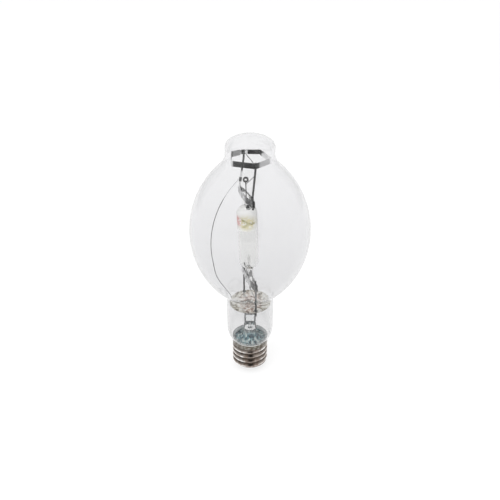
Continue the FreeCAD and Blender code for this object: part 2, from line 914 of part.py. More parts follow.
# Sleeve crimped on the back rod where the return lead is welded
def weld_level():
    return strap_centre("upper").z + return_lead_weld_rise


def rod_sleeve():
    high, low = upper_rod_bends(-1)
    along = (high - low).normalize()
    base = upper_rod_point(-1, weld_level()) - along * (sleeve_height / 2)
    sleeve = Part.makeCylinder(frame_rod_radius + sleeve_wall, sleeve_height, base, along)
    return sleeve.cut(Part.makeCylinder(frame_rod_radius + weld_gap, sleeve_height, base, along))


# Return lead, a thin wire bowed along the bulb's wall away from the arc
def return_lead_foot():
    return place(return_lead_foot_inset - neck_radius, -return_lead_foot_back,
                 press_top_level + return_lead_foot_rise)


def return_lead_neck():
    return place(return_lead_neck_gap + glass_wall - neck_radius, -return_lead_neck_back, neck_top_level)


def return_lead_low():
    """Corner in the lower bulge, on the line that just clears the rounded top of the neck."""
    neck = return_lead_neck()
    clear_radius = neck_blend + glass_wall + return_lead_wall_gap + return_lead_radius
    steepest = math.asin(clear_radius / (neck_radius + neck_blend + neck.x))
    across = return_lead_low_rise / math.tan(steepest)
    return place(neck.x - across, 0, neck.z + return_lead_low_rise)


def return_lead_points():
    beside_lead = lead_offset + left_lead_shift + lead_radius + return_lead_radius + weld_gap
    beside_rod = frame_rod_radius + sleeve_wall + return_lead_radius + weld_gap
    return [
        place(-beside_lead, 0, left_lead_straight_level),
        place(-beside_lead, 0, lead_top_level + return_lead_stand),
        return_lead_foot(),
        return_lead_neck(),
        return_lead_low(),
        place(return_lead_high_inset - bulb_radius, -return_lead_high_back,
              bulb_widest_level + return_lead_high_rise),
        upper_rod_point(-1, weld_level()) + place(-beside_rod, 0, 0),
    ]


def return_lead_pass():
    """Where the return lead goes through the disc."""
    low, high = return_lead_foot(), return_lead_neck()
    part = (disc_level + disc_thickness / 2 - low.z) / (high.z - low.z)
    return low + (high - low) * part


def return_lead():
    return round_bar(wire_path(return_lead_points(), return_lead_bends), return_lead_radius)


# Ring getter on the tip of the upper lead, a channel filled with metal powder
def face_front(shape):
    """Turn a ring made about the axis to face the front, on the tip of the upper lead."""
    lead_end = on_arc_tube(0, 0, outer_lead_tip("upper"))
    centre = lead_end + FreeCAD.Vector(0, getter_depth / 2, getter_outer_radius + weld_gap)
    shape.Placement = FreeCAD.Placement(centre, FreeCAD.Rotation(FreeCAD.Vector(1, 0, 0), 90))
    return shape


def ring_getter():
    outer, inner = getter_outer_radius, getter_inner_radius
    return face_front(turned_outline([
        (inner, 0),
        (outer, 0),
        (outer, getter_depth),
        (outer - getter_wall, getter_depth),
        (outer - getter_wall, getter_wall),
        (inner + getter_wall, getter_wall),
        (inner + getter_wall, getter_depth),
        (inner, getter_depth),
    ]))


def getter_fill():
    outer = getter_outer_radius - getter_wall - weld_gap
    inner = getter_inner_radius + getter_wall + weld_gap
    base = getter_wall + weld_gap
    top = base + getter_fill_depth
    return face_front(turned_outline([(inner, base), (outer, base), (outer, top), (inner, top)]))


# Link wires from the arc tube's leads to the frame
def link_run(end):
    """The part of a link that lies along the outer lead, in the lead's own direction."""
    outwards = seal_levels(end)[0]
    beside = outer_lead_radius + link_radius + weld_gap
    leave = outer_lead_tip(end) - outwards * link_leave
    return [on_arc_tube(beside, 0, leave - outwards * link_overlap), on_arc_tube(beside, 0, leave)]


def link_wire(end, rod):
    """A wire from the outer lead that ends against the side of a frame rod."""
    points = link_run(end)
    inwards = (points[-1] - rod).normalize()
    across = math.hypot(inwards.x, inwards.y)
    points.append(rod + inwards * ((frame_rod_radius + link_radius * abs(inwards.z) + end_gap) / across))
    return bent_wire(points, link_radius, link_bend)


def lower_link():
    rod = lower_rod_end(1, -lower_strap_height)
    level = link_run("lower")[-1].z - lower_link_drop
    return link_wire("lower", FreeCAD.Vector(rod.x, rod.y, level))


def upper_link():
    return link_wire("upper", upper_rod_point(1, link_run("upper")[-1].z + upper_link_rise))


pieces = {
    "screw_shell": screw_shell,
    "cap_insulator": cap_insulator,
    "centre_contact": centre_contact,
    "contact_solder": contact_solder,
    "cap_cement": cap_cement,
    "outer_bulb": outer_bulb,
    "stem_glass": stem_glass,
    "contact_lead": contact_lead,
    "shell_lead": shell_lead,
    "lower_frame": lower_frame,
    "heat_shield_disc": heat_shield_disc,
    "disc_clips": disc_clips,
    "lower_strap_right": lambda: lower_strap_half(1),
    "lower_strap_left": lambda: lower_strap_half(-1),
    "arc_tube": arc_tube,
    "upper_end_coat": upper_end_coat,
    "lower_electrode": lambda: electrode("lower"),
    "upper_electrode": lambda: electrode("upper"),
    "lower_foil": lambda: seal_foil("lower"),
    "upper_foil": lambda: seal_foil("upper"),
    "lower_outer_lead": lambda: outer_lead("lower"),
    "upper_outer_lead": lambda: outer_lead("upper"),
    "upper_strap_right": lambda: upper_strap_half(1),
    "upper_strap_left": lambda: upper_strap_half(-1),
    "upper_rod_front": lambda: upper_rod(1),
    "upper_rod_back": lambda: upper_rod(-1),
    "dome_band": dome_band,
    "dome_cross_wire": dome_cross_wire,
    "rod_sleeve": rod_sleeve,
    "return_lead": return_lead,
    "ring_getter": ring_getter,
    "getter_fill": getter_fill,
    "lower_link": lower_link,
    "upper_link": upper_link,
}

os.makedirs("parts", exist_ok=True)
for name, make in pieces.items():
    make().exportStep("parts/" + name + ".step")
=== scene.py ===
import math

import bmesh
import bpy
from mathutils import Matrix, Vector


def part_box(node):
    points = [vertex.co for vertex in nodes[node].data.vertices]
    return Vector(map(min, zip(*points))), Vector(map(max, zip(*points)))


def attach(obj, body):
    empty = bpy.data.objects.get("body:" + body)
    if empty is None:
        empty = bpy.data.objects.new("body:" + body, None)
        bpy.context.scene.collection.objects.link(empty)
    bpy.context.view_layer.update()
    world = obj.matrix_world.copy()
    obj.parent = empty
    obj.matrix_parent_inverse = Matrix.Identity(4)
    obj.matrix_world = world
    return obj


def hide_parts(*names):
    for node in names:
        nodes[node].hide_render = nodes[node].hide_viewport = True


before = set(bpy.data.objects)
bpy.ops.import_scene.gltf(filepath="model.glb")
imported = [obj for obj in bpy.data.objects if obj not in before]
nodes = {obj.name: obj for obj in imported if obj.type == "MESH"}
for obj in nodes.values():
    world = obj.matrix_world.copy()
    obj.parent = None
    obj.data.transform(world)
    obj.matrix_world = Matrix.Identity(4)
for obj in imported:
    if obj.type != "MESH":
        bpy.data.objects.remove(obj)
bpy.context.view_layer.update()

# Camera, set to the photograph's height, slope and distance.
# It stands in front of the lamp and looks down on it by about 29 degrees.
camera_distance = 0.486
camera_height = 0.418
camera_slope = math.radians(28.88)
camera_lens = 38.755
camera_data = bpy.data.cameras.new("camera")
camera_data.sensor_width = 36.0
camera_data.lens = camera_lens
camera_data.clip_start = 0.01
camera = bpy.data.objects.new("camera", camera_data)
camera.location = (0.0, -camera_distance, camera_height)
camera.rotation_euler = (math.pi / 2 - camera_slope, 0.0, 0.0)
bpy.context.collection.objects.link(camera)
bpy.context.scene.camera = camera


# Stem of sealing glass: flare, tube, flat press and exhaust tube.
# It is pressed round the two lead wires, and its flare is fused to the end of the bulb's neck.
def new_material(name):
    """A new material with its node tree and its main shader."""
    material = bpy.data.materials.new(name)
    material.use_nodes = True
    shader = material.node_tree.nodes["Principled BSDF"]
    return material, material.node_tree, shader


def grey(level):
    """A neutral colour."""
    return (level, level, level)


def noise(tree, scale, detail=3.0, stretch=(1.0, 1.0, 1.0)):
    """Noise on the piece's own coordinates, in waves to the metre."""
    place = tree.nodes.new("ShaderNodeTexCoord")
    mapping = tree.nodes.new("ShaderNodeMapping")
    mapping.inputs["Scale"].default_value = stretch
    texture = tree.nodes.new("ShaderNodeTexNoise")
    texture.inputs["Scale"].default_value = scale
    texture.inputs["Detail"].default_value = detail
    tree.links.new(place.outputs["Object"], mapping.inputs["Vector"])
    tree.links.new(mapping.outputs["Vector"], texture.inputs["Vector"])
    return texture.outputs["Fac"]


def ramp(tree, value, *stops):
    """Colours along a value from 0 to 1, each stop a place and a colour."""
    node = tree.nodes.new("ShaderNodeValToRGB")
    elements = node.color_ramp.elements
    while len(elements) < len(stops):
        elements.new(0.5)
    for element, (place, colour) in zip(elements, stops):
        element.position = place
        element.color = (*colour, 1.0)
    tree.links.new(value, node.inputs["Fac"])
    return node.outputs["Color"]


def part_between(tree, value, low, high):
    """How far a value lies from one number towards another, kept between 0 and 1."""
    node = tree.nodes.new("ShaderNodeMapRange")
    node.inputs["From Min"].default_value = low
    node.inputs["From Max"].default_value = high
    tree.links.new(value, node.inputs["Value"])
    return node.outputs["Result"]


def height_part(tree, low, high, axis="Z"):
    """How far a point lies between two heights of the lamp, or two places on another axis."""
    place = tree.nodes.new("ShaderNodeTexCoord")
    split = tree.nodes.new("ShaderNodeSeparateXYZ")
    tree.links.new(place.outputs["Object"], split.inputs["Vector"])
    return part_between(tree, split.outputs[axis], low, high)


def scaled(tree, value, first, last):
    """A value from 0 to 1 made to run from a first number to a last one."""
    node = tree.nodes.new("ShaderNodeMapRange")
    node.inputs["To Min"].default_value = first
    node.inputs["To Max"].default_value = last
    tree.links.new(value, node.inputs["Value"])
    return node.outputs["Result"]


def colour_mix(tree, mode):
    """A node that mixes two colours, with its two colour inputs and its output."""
    node = tree.nodes.new("ShaderNodeMix")
    node.data_type = "RGBA"
    node.blend_type = mode
    first, second = [socket for socket in node.inputs if socket.type == "RGBA"]
    mixed = next(socket for socket in node.outputs if socket.type == "RGBA")
    return node, first, second, mixed


def blend(tree, part, first, second):
    """Colour that goes from a first colour or output to a second one."""
    node, first_socket, second_socket, mixed = colour_mix(tree, "MIX")
    tree.links.new(part, node.inputs["Factor"])
    for socket, colour in ((first_socket, first), (second_socket, second)):
        if isinstance(colour, tuple):
            socket.default_value = (*colour, 1.0)
        else:
            tree.links.new(colour, socket)
    return mixed


def bump(tree, shader, value, depth, distance):
    """Raise and lower the surface by a value, up to a distance in metres."""
    node = tree.nodes.new("ShaderNodeBump")
    node.inputs["Strength"].default_value = depth
    node.inputs["Distance"].default_value = distance
    tree.links.new(value, node.inputs["Height"])
    tree.links.new(node.outputs["Normal"], shader.inputs["Normal"])


def paint(material, *names):
    """Give nodes of the frame their finished material."""
    for name in names:
        nodes[name].data.materials.clear()
        nodes[name].data.materials.append(material)


flare_top, press_foot = 0.0465, 0.0520
stem_glass, tree, shader = new_material("stem_glass")
shader.inputs["IOR"].default_value = 1.5
shader.inputs["Roughness"].default_value = 0.02
streaks = noise(tree, 330.0, 6.0, (1.0, 1.0, 0.35))
teal = ramp(tree, streaks, (0.41, (0.02, 0.07, 0.10)), (0.47, (0.12, 0.30, 0.36)),
            (0.52, (0.34, 0.60, 0.64)), (0.57, (0.90, 0.97, 0.93)))
press = height_part(tree, flare_top, press_foot)
tree.links.new(blend(tree, press, teal, (0.96, 0.97, 0.97)), shader.inputs["Base Color"])
tree.links.new(scaled(tree, press, 0.6, 0.97), shader.inputs["Transmission Weight"])
bump(tree, shader, streaks, 0.30, 0.0005)
paint(stem_glass, "stem_glass")
nodes["stem_glass"].visible_shadow = False


# Lead wires, drawn from nickel-iron and pressed into the stem.
# One runs down to the contact, the other out to the shell.
def toned_finish(name, metallic, roughness, waves, detail, dark, light):
    """A finish whose tone wanders between a dark and a light one."""
    material, tree, shader = new_material(name)
    shader.inputs["Metallic"].default_value = metallic
    shader.inputs["Roughness"].default_value = roughness
    tone = ramp(tree, noise(tree, waves, detail), (0.3, dark), (0.7, light))
    tree.links.new(tone, shader.inputs["Base Color"])
    return material


def wire_metal(name, dark, light, roughness):
    """Bare drawn or rolled metal, a little uneven in tone."""
    return toned_finish(name, 1.0, roughness, 700.0, 3.0, dark, light)


lead_wire = wire_metal("lead_wire", (0.035, 0.035, 0.038), grey(0.11), 0.35)
paint(lead_wire, "contact_lead", "shell_lead")

# Lower frame, one plated steel wire bent to a U and welded to the contact lead.
# The collars on its legs hold the disc at its height.
frame_wire = wire_metal("frame_wire", grey(0.02), (0.08, 0.08, 0.078), 0.32)
paint(frame_wire, "lower_frame", "disc_clips")


# Heat-shield disc, split from brown mica and punched for the wires.
# It lies between the collars in the neck, and its middle is rosier than its rim.
def spot(tree, centre, spread, turn=0.0):
    """A soft spot, 1 in its middle and 0 at its spread, turned by degrees in the front view."""
    place = tree.nodes.new("ShaderNodeTexCoord")
    mapping = tree.nodes.new("ShaderNodeMapping")
    mapping.vector_type = "TEXTURE"
    mapping.inputs["Location"].default_value = centre
    mapping.inputs["Rotation"].default_value = (0.0, math.radians(-turn), 0.0)
    mapping.inputs["Scale"].default_value = spread
    round_spot = tree.nodes.new("ShaderNodeTexGradient")
    round_spot.gradient_type = "SPHERICAL"
    tree.links.new(place.outputs["Object"], mapping.inputs["Vector"])
    tree.links.new(mapping.outputs["Vector"], round_spot.inputs["Vector"])
    return round_spot.outputs["Fac"]


def rise(tree, value, low, high):
    """Black up to one place of a value, and white from another place on."""
    return ramp(tree, value, (low, grey(0.0)), (high, grey(1.0)))


disc_middle, rosy_reach = (0.0, -0.002, 0.086), (0.015, 0.024, 0.02)
mica, tree, shader = new_material("mica")
shader.inputs["Transmission Weight"].default_value = 0.65
shader.inputs["Roughness"].default_value = 0.08
flakes = noise(tree, 230.0, 7.0)
brown = ramp(tree, flakes, (0.42, (0.27, 0.24, 0.17)), (0.47, (0.58, 0.54, 0.43)),
             (0.52, (0.84, 0.81, 0.71)), (0.57, (0.98, 0.97, 0.92)))
rosy = ramp(tree, flakes, (0.42, (0.32, 0.20, 0.15)), (0.47, (0.74, 0.59, 0.50)),
            (0.52, (0.95, 0.87, 0.78)), (0.57, (1.0, 0.98, 0.93)))
near_middle = rise(tree, spot(tree, disc_middle, rosy_reach), 0.0, 0.4)
tree.links.new(blend(tree, near_middle, brown, rosy), shader.inputs["Base Color"])
bump(tree, shader, flakes, 0.3, 0.0004)
paint(mica, "heat_shield_disc")

# Electrodes of tungsten, pale with emitter oxide, and sealing foils of molybdenum.
# Each electrode is welded to its foil and each foil to its outer lead.
tungsten, tree, shader = new_material("tungsten")
shader.inputs["Metallic"].default_value = 0.1
shader.inputs["Roughness"].default_value = 0.7
emitter = ramp(tree, noise(tree, 1200.0, 4.0), (0.35, (0.70, 0.70, 0.69)), (0.65, (0.92, 0.92, 0.91)))
tree.links.new(emitter, shader.inputs["Base Color"])
paint(tungsten, "lower_electrode", "upper_electrode")
foil_metal = wire_metal("foil_metal", (0.45, 0.44, 0.43), (0.66, 0.64, 0.62), 0.45)
paint(foil_metal, "lower_foil", "upper_foil")
paint(lead_wire, "lower_outer_lead", "upper_outer_lead")

# Arc tube of clear quartz, closed at both ends by pinching it flat round foils and leads.
# Its glass bends the light little, so that the tube stands out no more than in the photograph.
quartz, tree, shader = new_material("quartz")
shader.inputs["Base Color"].default_value = (0.97, 0.97, 0.96, 1.0)
shader.inputs["Transmission Weight"].default_value = 1.0
shader.inputs["IOR"].default_value = 1.22
haze = ramp(tree, noise(tree, 200.0), (0.4, grey(0.0)), (0.8, grey(0.05)))
tree.links.new(haze, shader.inputs["Roughness"])
paint(quartz, "arc_tube")
nodes["arc_tube"].visible_shadow = False


# White coat, a thin matt oxide layer that keeps the tube's upper end warm.
# Salts that condensed on the wall show through it as yellow, green and red stains.
def calculate(tree, operation, first, second):
    """A value worked out from two other values."""
    node = tree.nodes.new("ShaderNodeMath")
    node.operation = operation
    tree.links.new(first, node.inputs[0])
    tree.links.new(second, node.inputs[1])
    return node.outputs["Value"]


coat, tree, shader = new_material("coat")
shader.inputs["Roughness"].default_value = 0.6
shader.inputs["Alpha"].default_value = 0.5
stained = ramp(tree, noise(tree, 900.0, 5.0), (0.3, (0.95, 0.95, 0.93)), (0.7, (1.0, 1.0, 0.99)))
ragged = noise(tree, 520.0, 5.0)
for centre, spread, turn, cover, colour in (
        ((-0.0030, -0.0095, 0.1856), (0.0120, 0.0160, 0.0100), 0.0, 0.40, (0.80, 0.73, 0.42)),
        ((-0.0048, -0.0100, 0.1873), (0.0062, 0.0160, 0.0019), -30.0, 0.34, (0.42, 0.39, 0.13)),
        ((-0.0042, -0.0100, 0.1829), (0.0056, 0.0160, 0.0017), 33.0, 0.34, (0.52, 0.49, 0.22)),
        ((0.0012, -0.0100, 0.1851), (0.0050, 0.0160, 0.0017), -4.0, 0.34, (0.42, 0.38, 0.12)),
        ((-0.0118, -0.0060, 0.1862), (0.0045, 0.0120, 0.0070), 0.0, 0.40, (0.80, 0.40, 0.39))):
    reach = rise(tree, spot(tree, centre, spread, turn), 0.0, 0.55)
    torn_reach = calculate(tree, "MULTIPLY", reach, rise(tree, ragged, cover, cover + 0.10))
    stained = blend(tree, torn_reach, stained, colour)
tree.links.new(stained, shader.inputs["Base Color"])
paint(coat, "upper_end_coat")
nodes["upper_end_coat"].visible_shadow = False


# Straps, pressed from plated steel strip and closed in pairs round the pinches.
# Their front ends are painted dark as shade, and the rest is mottled.
def pinch_strap(name, dark_end, bright_start):
    """Strap metal, painted dark as shade up to one place from front to back and mottled from another on."""
    material, tree, shader = new_material(name)
    shader.inputs["Metallic"].default_value = 0.6
    shader.inputs["Roughness"].default_value = 0.45
    mottled = ramp(tree, noise(tree, 320.0, 3.0), (0.40, grey(0.38)), (0.50, grey(0.66)), (0.60, grey(0.95)))
    # Painted shade: the straps are dark at their front ends.
    painted_strap_shade = ramp(tree, noise(tree, 450.0, 4.0), (0.43, grey(0.02)), (0.57, grey(0.20)))
    tone = blend(tree, height_part(tree, dark_end, bright_start, "Y"), painted_strap_shade, mottled)
    tree.links.new(tone, shader.inputs["Base Color"])
    return material


paint(pinch_strap("lower_strap", -0.013, -0.009), "lower_strap_right", "lower_strap_left")
paint(pinch_strap("upper_strap", -0.008, -0.003), "upper_strap_right", "upper_strap_left")

# Link wires, thin drawn wire spot welded to the arc tube's leads.
# The lower one ends on the lower frame and the upper one on the front rod.
paint(lead_wire, "lower_link", "upper_link")


# Upper rods, two steel wires that stand on the upper straps and carry the band.
# The back one carries a painted highlight that makes it bright below the band.
def painted_highlight_wire(name, blued, highlight_start, highlight_full, bright):
    """Dark wire with a painted highlight that brightens it from one height to another and from there on."""
    material, tree, shader = new_material(name)
    shader.inputs["Metallic"].default_value = 1.0
    shader.inputs["Roughness"].default_value = 0.3
    dark = ramp(tree, noise(tree, 700.0), *blued)
    tone = blend(tree, height_part(tree, highlight_start, highlight_full), dark, bright)
    tree.links.new(tone, shader.inputs["Base Color"])
    return material


paint(frame_wire, "upper_rod_front")
# The back rod's bright part below the band is a painted highlight.
rod_metal = painted_highlight_wire("rod_metal", ((0.4, grey(0.02)), (0.6, grey(0.09))), 0.2310, 0.2280, grey(0.72))
paint(rod_metal, "upper_rod_back")

# Dome band, a blued steel strip bent by hand to six sides and welded where its ends meet.
# Its front and back sides stay dark; painted highlights make the bends and the right side bright.
band_level, highlight_height = 0.2484, 0.02
band_metal, tree, shader = new_material("band_metal")
shader.inputs["Metallic"].default_value = 1.0
shader.inputs["Roughness"].default_value = 0.3
oxide_and_highlights = ramp(tree, noise(tree, 600.0, 4.0, (1.0, 1.0, 3.0)), (0.35, (0.006, 0.006, 0.007)), (0.7, grey(0.05)))
# Painted highlights: light spots on the band's bends and right side.
for right, back, wide, deep, bright in ((0.0135, -0.0120, 0.0095, 0.0095, 0.52),
                                        (-0.0175, -0.0130, 0.0030, 0.0030, 0.80),
                                        (-0.0125, 0.0170, 0.0075, 0.0075, 0.30),
                                        (-0.0062, 0.0205, 0.0046, 0.0046, 0.85),
                                        (0.0160, 0.0080, 0.0100, 0.0110, 0.80),
                                        (0.0190, -0.0025, 0.0045, 0.0060, 0.95)):
    painted_highlight = rise(tree, spot(tree, (right, back, band_level), (wide, deep, highlight_height)), 0.0, 0.35)
    oxide_and_highlights = blend(tree, painted_highlight, oxide_and_highlights, grey(bright))
tree.links.new(oxide_and_highlights, shader.inputs["Base Color"])
paint(band_metal, "dome_band")

# Cross wire, thin and bowed, welded across the band.
# It has the dark finish of the lead wires.
paint(lead_wire, "dome_cross_wire")

# Ring getter, a rolled channel on the upper lead with a fill of pressed powder.
# The fill takes up gas that the warm glass and metal give off.
dark_metal = wire_metal("dark_metal", (0.015, 0.015, 0.016), grey(0.12), 0.3)
paint(dark_metal, "ring_getter")
getter_powder = toned_finish("getter_powder", 0.0, 0.9, 2500.0, 6.0, (0.05, 0.05, 0.052), grey(0.16))
paint(getter_powder, "getter_fill")

# Return lead, thin wire bowed along the left wall so that it keeps away from the arc tube.
# A small sleeve of dark metal joins its upper end, bright with a painted highlight, to the back rod.
return_blue = ((0.3, (0.02, 0.02, 0.022)), (0.7, grey(0.07)))
# The return lead's bright upper end is a painted highlight.
return_wire = painted_highlight_wire("return_wire", return_blue, 0.199, 0.207, (0.78, 0.78, 0.79))
paint(return_wire, "return_lead")
paint(dark_metal, "rod_sleeve")


# Outer bulb, blown from clear hard glass about a millimetre thick.
# It is one piece: neck, bulged body and small dome, with the neck's end sealed to the stem.
def arc_points(centre, radius, first, last, count):
    """Points on an arc from one angle to another, in degrees from outwards towards up."""
    points = []
    for i in range(count + 1):
        angle = math.radians(first + (last - first) * i / count)
        points.append((centre[0] + radius * math.cos(angle), centre[1] + radius * math.sin(angle)))
    return points


def angle_to(centre, point):
    """Direction from an arc's centre to a point, in degrees."""
    return math.degrees(math.atan2(point[1] - centre[1], point[0] - centre[0]))


lamp_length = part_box("outer_bulb")[1][2]
bulb_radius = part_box("outer_bulb")[1][0]
neck_end_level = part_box("outer_bulb")[0][2]
glass_wall = 0.0011
bulge_bend = 0.093
neck_radius, neck_blend, neck_length = 0.0254, 0.010, 0.0369
dome_radius, dome_blend = 0.0239, 0.015
dome_height, dome_corner = 0.0123, 0.008
neck_end_radius, neck_step_level = 0.018, 0.0406
shoulder_radius, shoulder_level, shoulder_end = 0.0218, 0.0422, 0.057
bulge_steps, end_steps, bend_steps, turned_steps = 40, 10, 8, 128


def blend_height(side_radius, side_blend):
    """Height between the widest level and the end of a blend to a straight side."""
    across = side_radius + side_blend - (bulb_radius - bulge_bend)
    return math.sqrt((bulge_bend + side_blend) ** 2 - across ** 2)


neck_top_level = shoulder_end + neck_length
widest_level = neck_top_level + blend_height(neck_radius, neck_blend)
dome_foot_level = widest_level + blend_height(dome_radius, dome_blend)


def bulb_outline(inset):
    """The bulb's section at a depth below its outer surface, from the neck's end to the top."""
    bulge = (bulb_radius - bulge_bend, widest_level)
    neck = (neck_radius + neck_blend, neck_top_level)
    dome = (dome_radius + dome_blend, dome_foot_level)
    shoulder_rise = shoulder_end - shoulder_level
    shoulder_width = neck_radius - shoulder_radius
    shoulder_bend = (shoulder_width ** 2 + shoulder_rise ** 2) / (2 * shoulder_width)
    shoulder = (neck_radius - shoulder_bend, shoulder_end)
    shoulder_angle = -math.degrees(math.asin(shoulder_rise / shoulder_bend))
    crown_bend = (dome_radius ** 2 + dome_height ** 2) / 2 - dome_radius * dome_corner
    crown_bend = crown_bend / (dome_height - dome_corner)
    crown = (0.0, lamp_length - crown_bend)
    corner = (dome_radius - dome_corner, lamp_length - dome_height)
    neck_turn = angle_to(bulge, neck)
    dome_turn = angle_to(bulge, dome)
    corner_turn = angle_to(crown, corner)
    return (
        [(neck_end_radius - inset, neck_end_level), (neck_end_radius - inset, neck_step_level + inset / 2)]
        + arc_points(shoulder, shoulder_bend - inset, shoulder_angle, 0.0, end_steps)
        + arc_points(neck, neck_blend + inset, 180.0, 180.0 + neck_turn, bend_steps)
        + arc_points(bulge, bulge_bend - inset, neck_turn, dome_turn, bulge_steps)
        + arc_points(dome, dome_blend + inset, 180.0 + dome_turn, 180.0, bend_steps)
        + arc_points(corner, dome_corner - inset, 0.0, corner_turn, bend_steps)
        + arc_points(crown, crown_bend - inset, corner_turn, 90.0, end_steps)[1:]
    )


def bulb_profile():
    """The wall's closed section, from the inside of the crown round the neck's end to its outside."""
    outside = bulb_outline(0.0)
    inside = bulb_outline(glass_wall)
    outside[-1] = (0.0, outside[-1][1])
    inside[-1] = (0.0, inside[-1][1])
    return inside[::-1] + outside


def spun_mesh(name, profile, steps):
    """Turn a profile of (radius, height) points in metres, both ends on the axis, round the axis."""
    shape = bmesh.new()
    points = [shape.verts.new((radius, 0.0, height)) for radius, height in profile]
    edges = [shape.edges.new(pair) for pair in zip(points, points[1:])]
    bmesh.ops.spin(shape, geom=points + edges, cent=(0, 0, 0), axis=(0, 0, 1),
                   angle=2 * math.pi, steps=steps, use_merge=True)
    bmesh.ops.remove_doubles(shape, verts=shape.verts, dist=1e-6)
    bmesh.ops.recalc_face_normals(shape, faces=shape.faces)
    mesh = bpy.data.meshes.new(name)
    shape.to_mesh(mesh)
    shape.free()
    mesh.shade_smooth()
    return mesh


shade_foot, shade_top = 0.040, 0.272
bulb_glass, tree, shader = new_material("bulb_glass")
shader.inputs["Transmission Weight"].default_value = 1.0
shader.inputs["IOR"].default_value = 1.47
# The glass's grey tint is its own; its change with height is painted shade, darkest low on the bulge and
# lightest at the dome.
glass_tint_and_shade = ramp(tree, height_part(tree, shade_foot, shade_top), (0.10, (0.865, 0.865, 0.868)),
            (0.26, (0.834, 0.834, 0.840)), (0.40, (0.862, 0.862, 0.868)), (0.55, (0.885, 0.885, 0.892)),
            (0.80, (0.940, 0.940, 0.946)), (1.0, (0.955, 0.955, 0.960)))
tree.links.new(glass_tint_and_shade, shader.inputs["Base Color"])
smear = ramp(tree, noise(tree, 18.0), (0.35, grey(0.0)), (0.75, grey(0.012)))
tree.links.new(smear, shader.inputs["Roughness"])
depth_tint = tree.nodes.new("ShaderNodeVolumeAbsorption")
depth_tint.inputs["Color"].default_value = (0.41, 0.41, 0.42, 1.0)
depth_tint.inputs["Density"].default_value = 52.0
tree.links.new(depth_tint.outputs["Volume"], tree.nodes["Material Output"].inputs["Volume"])

outer_bulb = bpy.data.objects.new("outer_bulb_glass",
                                  spun_mesh("outer_bulb_glass", bulb_profile(), turned_steps))
bpy.context.collection.objects.link(outer_bulb)
outer_bulb.data.materials.append(bulb_glass)
outer_bulb.visible_shadow = False
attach(outer_bulb, "root")
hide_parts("outer_bulb")

# Cement ring, a pale paste put between the neck and the shell and baked hard.
# It alone holds the cap on the glass.
cement = toned_finish("cement", 0.0, 0.9, 1500.0, 6.0, (0.58, 0.65, 0.66), (0.86, 0.90, 0.89))
paint(cement, "cap_cement")


# Screw shell, rolled from thin sheet brass and nickel plated.
# The round thread is rolled in; the lip holds the insulator and the rim the neck.
def axis_distance(tree, near, far):
    """How far a point lies out from the lamp's axis, 0 at the near radius and 1 at the far one."""
    place = tree.nodes.new("ShaderNodeTexCoord")
    flat = tree.nodes.new("ShaderNodeMapping")
    flat.inputs["Scale"].default_value = (1.0, 1.0, 0.0)
    length = tree.nodes.new("ShaderNodeVectorMath")
    length.operation = "LENGTH"
    tree.links.new(place.outputs["Object"], flat.inputs["Vector"])
    tree.links.new(flat.outputs["Vector"], length.inputs[0])
    return part_between(tree, length.outputs["Value"], near, far)


def darkened(tree, colour, stains):
    """A colour darkened by stains, which are white where it is clean."""
    node, first_socket, second_socket, mixed = colour_mix(tree, "MULTIPLY")
    node.inputs["Factor"].default_value = 1.0
    tree.links.new(colour, first_socket)
    tree.links.new(stains, second_socket)
    return mixed


thread_root, thread_crest = 0.0178, 0.0198
thread_end, skirt_start, lining_start = 0.0330, 0.0345, 0.0347
rim_start, rim_full = 0.0398, 0.0402
lining_edge, sheet_outside = 0.0195, 0.0197
front_shade_middle, front_shade_reach = (0.0025, -0.0190, 0.020), (0.0120, 0.0300, 0.0300)
shell_metal, tree, shader = new_material("shell_metal")
thread_depth = axis_distance(tree, thread_root, thread_crest)
# Painted shade darkens the thread's grooves, and a painted highlight whitens its crests.
groove_shade_crest_highlight = ramp(tree, thread_depth, (0.05, (0.06, 0.052, 0.048)), (0.35, (0.19, 0.17, 0.155)),
             (0.75, (0.36, 0.335, 0.315)), (0.94, (0.92, 0.90, 0.88)))
# Painted shade: towards the front middle the thread is darker, with dimmer crests.
front_shade = ramp(tree, thread_depth, (0.05, (0.11, 0.090, 0.075)), (0.5, (0.25, 0.21, 0.185)),
            (0.94, (0.44, 0.39, 0.36)))
thread = blend(tree, rise(tree, spot(tree, front_shade_middle, front_shade_reach), 0.0, 0.4), groove_shade_crest_highlight, front_shade)
skirt = ramp(tree, noise(tree, 420.0, 6.0), (0.42, (0.155, 0.145, 0.12)), (0.50, (0.215, 0.205, 0.178)),
             (0.58, (0.30, 0.29, 0.27)))
stains = ramp(tree, noise(tree, 300.0, 5.0), (0.42, (0.62, 0.56, 0.52)), (0.56, grey(1.0)))
plating_and_shade = darkened(tree, blend(tree, height_part(tree, thread_end, skirt_start), thread, skirt), stains)
plating_and_shade = blend(tree, height_part(tree, rim_start, rim_full), plating_and_shade, (0.90, 0.91, 0.90))
bare = calculate(tree, "MAXIMUM", axis_distance(tree, lining_edge, sheet_outside),
                 height_part(tree, lining_start, skirt_start))
tree.links.new(bare, shader.inputs["Metallic"])
tree.links.new(blend(tree, bare, (0.78, 0.84, 0.84), plating_and_shade), shader.inputs["Base Color"])
wear = ramp(tree, noise(tree, 500.0, 4.0), (0.3, grey(0.10)), (0.75, grey(0.26)))
tree.links.new(wear, shader.inputs["Roughness"])
paint(shell_metal, "screw_shell")

# Insulator of black glass, moulded into the shell's lower lip.
# It keeps the contact apart from the shell.
black_glass = toned_finish("black_glass", 0.0, 0.12, 300.0, 3.0, (0.008, 0.008, 0.009), (0.02, 0.02, 0.022))
paint(black_glass, "cap_insulator")

